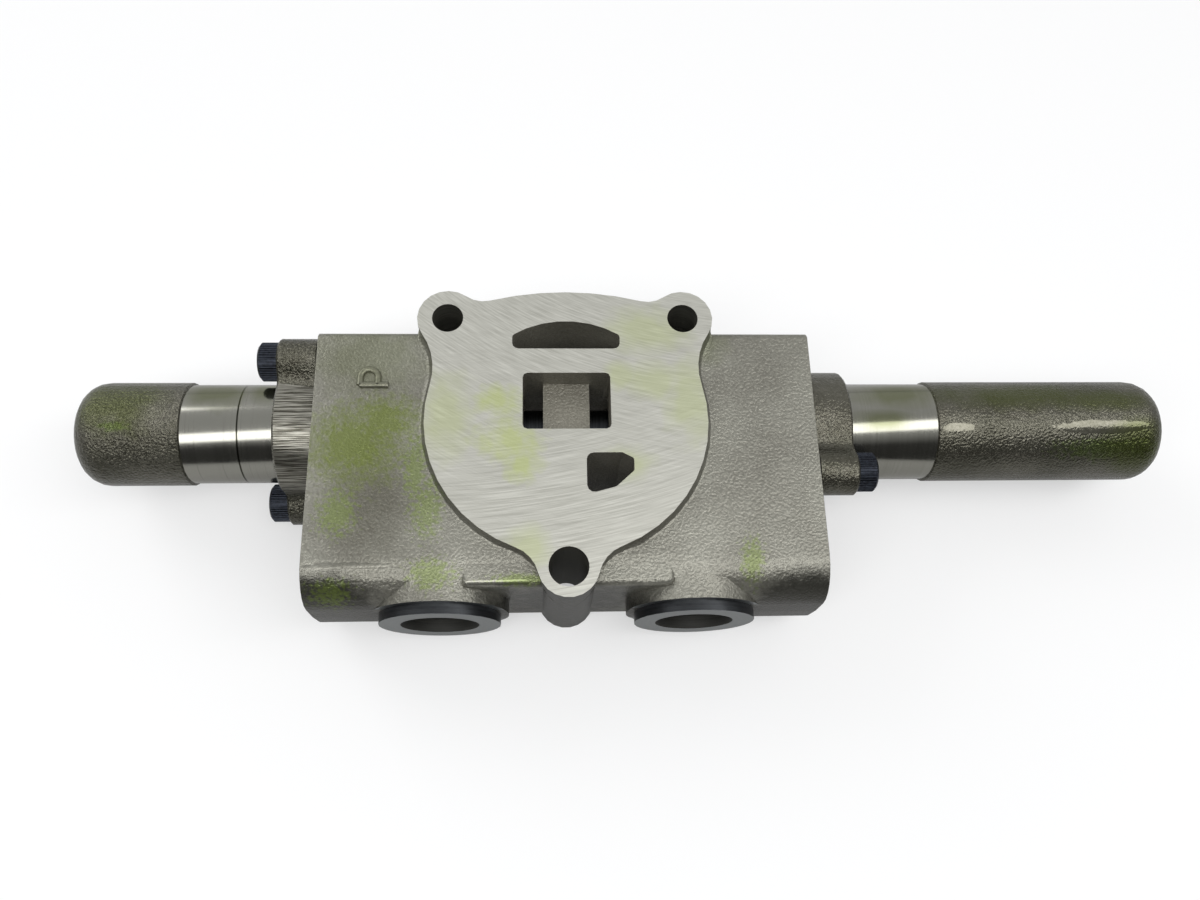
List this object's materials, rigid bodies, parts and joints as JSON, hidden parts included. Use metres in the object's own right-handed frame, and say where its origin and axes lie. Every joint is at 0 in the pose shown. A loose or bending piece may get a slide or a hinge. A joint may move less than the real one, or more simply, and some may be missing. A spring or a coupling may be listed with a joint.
{
  "type": "directional valve section",
  "caption": "Pilot-operated spring-centred spool valve section: cast body with mating pads, tie-rod holes, two threaded work ports and long cylindrical pilot caps.",
  "frame": {"origin": "on the lower mating face, where the spool's mid-plane and the centreline between the rear tie rods cross; the point lies on the end of the bridge in the open core", "axes": "+X along the spool towards the long cap, +Y away from the work ports, +Z out of the upper mating face"},
  "size_m": [0.3591, 0.1045, 0.05],
  "materials": {
    "cast_body": "sand cast, with ground mating faces and turned ports",
    "cast_caps": "sand cast with turned neck, oily",
    "ground_steel": "ground",
    "spring_steel": "drawn wire",
    "black_oxide_steel": "black oxide",
    "nitrile_rubber": "moulded"
  },
  "bodies": {
    "section": {"valve_body": "cast_body", "short_cap": "cast_caps", "long_cap": "cast_caps", "short_cap_screw_upper": "black_oxide_steel", "short_cap_screw_lower": "black_oxide_steel", "long_cap_screw_upper": "black_oxide_steel", "long_cap_screw_lower": "black_oxide_steel", "short_cap_oring": "nitrile_rubber", "long_cap_oring": "nitrile_rubber", "left_spool_seal": "nitrile_rubber", "right_spool_seal": "nitrile_rubber", "tank_core_seal": "nitrile_rubber", "open_core_seal": "nitrile_rubber", "pressure_core_seal": "nitrile_rubber", "check_bore_seal": "nitrile_rubber", "left_centering_spring": "spring_steel", "right_centering_spring": "spring_steel", "check_spring": "spring_steel"},
    "left_seat": {"left_spring_seat": "ground_steel"},
    "spool": {"spool": "ground_steel"},
    "right_seat": {"right_spring_seat": "ground_steel"},
    "check": {"check_poppet": "ground_steel"}
  },
  "joints": [
    {"name": "spool_shift_left", "type": "slide", "parent": "section", "child": "left_seat", "axis": [1, 0, 0], "range_m": [-0.008, 0], "stiffness_N_per_m": 8600, "springref_m": 0.007, "deforming": ["left_centering_spring"]},
    {"name": "spool_shift_right", "type": "slide", "parent": "left_seat", "child": "spool", "axis": [1, 0, 0], "range_m": [0, 0.008], "stiffness_N_per_m": 6150, "springref_m": -0.01},
    {"name": "right_seat_shift", "type": "slide", "parent": "section", "child": "right_seat", "axis": [1, 0, 0], "range_m": [0, 0.008], "deforming": ["right_centering_spring"]},
    {"name": "check_lift", "type": "slide", "parent": "section", "child": "check", "axis": [0, 0, 1], "range_m": [-0.0035, 0], "stiffness_N_per_m": 2300, "springref_m": 0.003, "deforming": ["check_spring"]}
  ],
  "couplings": [
    {"joint": "right_seat_shift", "follows": "spool_shift_right", "ratio": 1}
  ]
}
